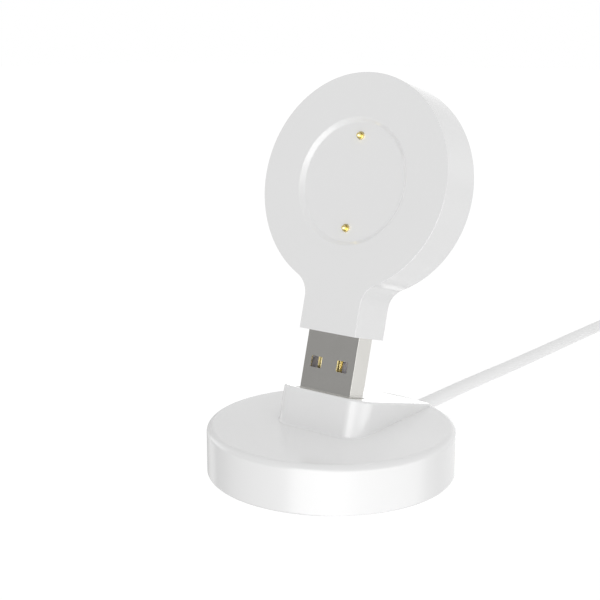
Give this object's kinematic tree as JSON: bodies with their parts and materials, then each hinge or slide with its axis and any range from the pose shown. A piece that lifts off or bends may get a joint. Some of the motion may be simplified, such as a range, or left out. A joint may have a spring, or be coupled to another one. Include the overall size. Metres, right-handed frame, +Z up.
{
  "type": "smartwatch charger",
  "caption": "Round magnetic watch charging head on a short neck, plugged upright into the leaning socket of a puck-shaped dock with a cable.",
  "frame": {"origin": "centre of the dock's underside, on the surface it stands on", "axes": "+Z up, the charging face looks towards -Y and leans back, the cable leaves towards +Y"},
  "size_m": [0.0744, 0.2079, 0.0772],
  "materials": {
    "white_shell": "glossy white moulded plastic",
    "gold_contact": "gold plated",
    "plug_metal": "nickel plated sheet, fine vertical grain",
    "insulator": "dark moulded plastic",
    "magnet": "nickel plated magnet",
    "circuit_board": "green solder mask",
    "spring_steel": "spring wire",
    "screw_steel": "zinc plated",
    "soft_foot": "soft pale silicone",
    "cable_jacket": "satin white cable jacket"
  },
  "bodies": {
    "dock": {"anti_slip_pad": "soft_foot", "bottom_cover": "white_shell", "cable": "cable_jacket", "cable_coil": "cable_jacket", "cable_end": "cable_jacket", "cable_gland": "cable_jacket", "cover_screw_left": "screw_steel", "cover_screw_right": "screw_steel", "dock_circuit_board": "circuit_board", "dock_shell": "white_shell", "far_plug_body": "white_shell", "far_plug_contact_1": "gold_contact", "far_plug_contact_2": "gold_contact", "far_plug_contact_3": "gold_contact", "far_plug_contact_4": "gold_contact", "far_plug_insulator": "insulator", "far_plug_shell": "plug_metal", "far_strain_relief": "white_shell", "socket_contact_1": "gold_contact", "socket_contact_2": "gold_contact", "socket_contact_3": "gold_contact", "socket_contact_4": "gold_contact", "socket_insulator": "insulator", "socket_shell": "plug_metal"},
    "head": {"head_circuit_board": "circuit_board", "head_front_shell": "white_shell", "head_magnet_left": "magnet", "head_magnet_right": "magnet", "head_rear_lid": "white_shell", "pin_holder": "insulator", "plug_contact_1": "gold_contact", "plug_contact_2": "gold_contact", "plug_contact_3": "gold_contact", "plug_contact_4": "gold_contact", "plug_insulator": "insulator", "plug_shell": "plug_metal", "pogo_barrel_lower": "gold_contact", "pogo_barrel_upper": "gold_contact", "pogo_spring_lower": "spring_steel", "pogo_spring_upper": "spring_steel"},
    "upper_pin": {"pogo_plunger_upper": "gold_contact"},
    "lower_pin": {"pogo_plunger_lower": "gold_contact"}
  },
  "joints": [
    {"name": "head_slide", "type": "slide", "parent": "dock", "child": "head", "axis": [0, 0.2588, 0.9659], "range_m": [-0.0115, 0.02]},
    {"name": "upper_pin_press", "type": "slide", "parent": "head", "child": "upper_pin", "axis": [0, 0.9659, -0.2588], "range_m": [0, 0.0006], "stiffness_N_per_m": 500, "springref_m": -0.0008, "deforming": ["pogo_spring_upper"]},
    {"name": "lower_pin_press", "type": "slide", "parent": "head", "child": "lower_pin", "axis": [0, 0.9659, -0.2588], "range_m": [0, 0.0006], "stiffness_N_per_m": 500, "springref_m": -0.0008, "deforming": ["pogo_spring_lower"]}
  ]
}
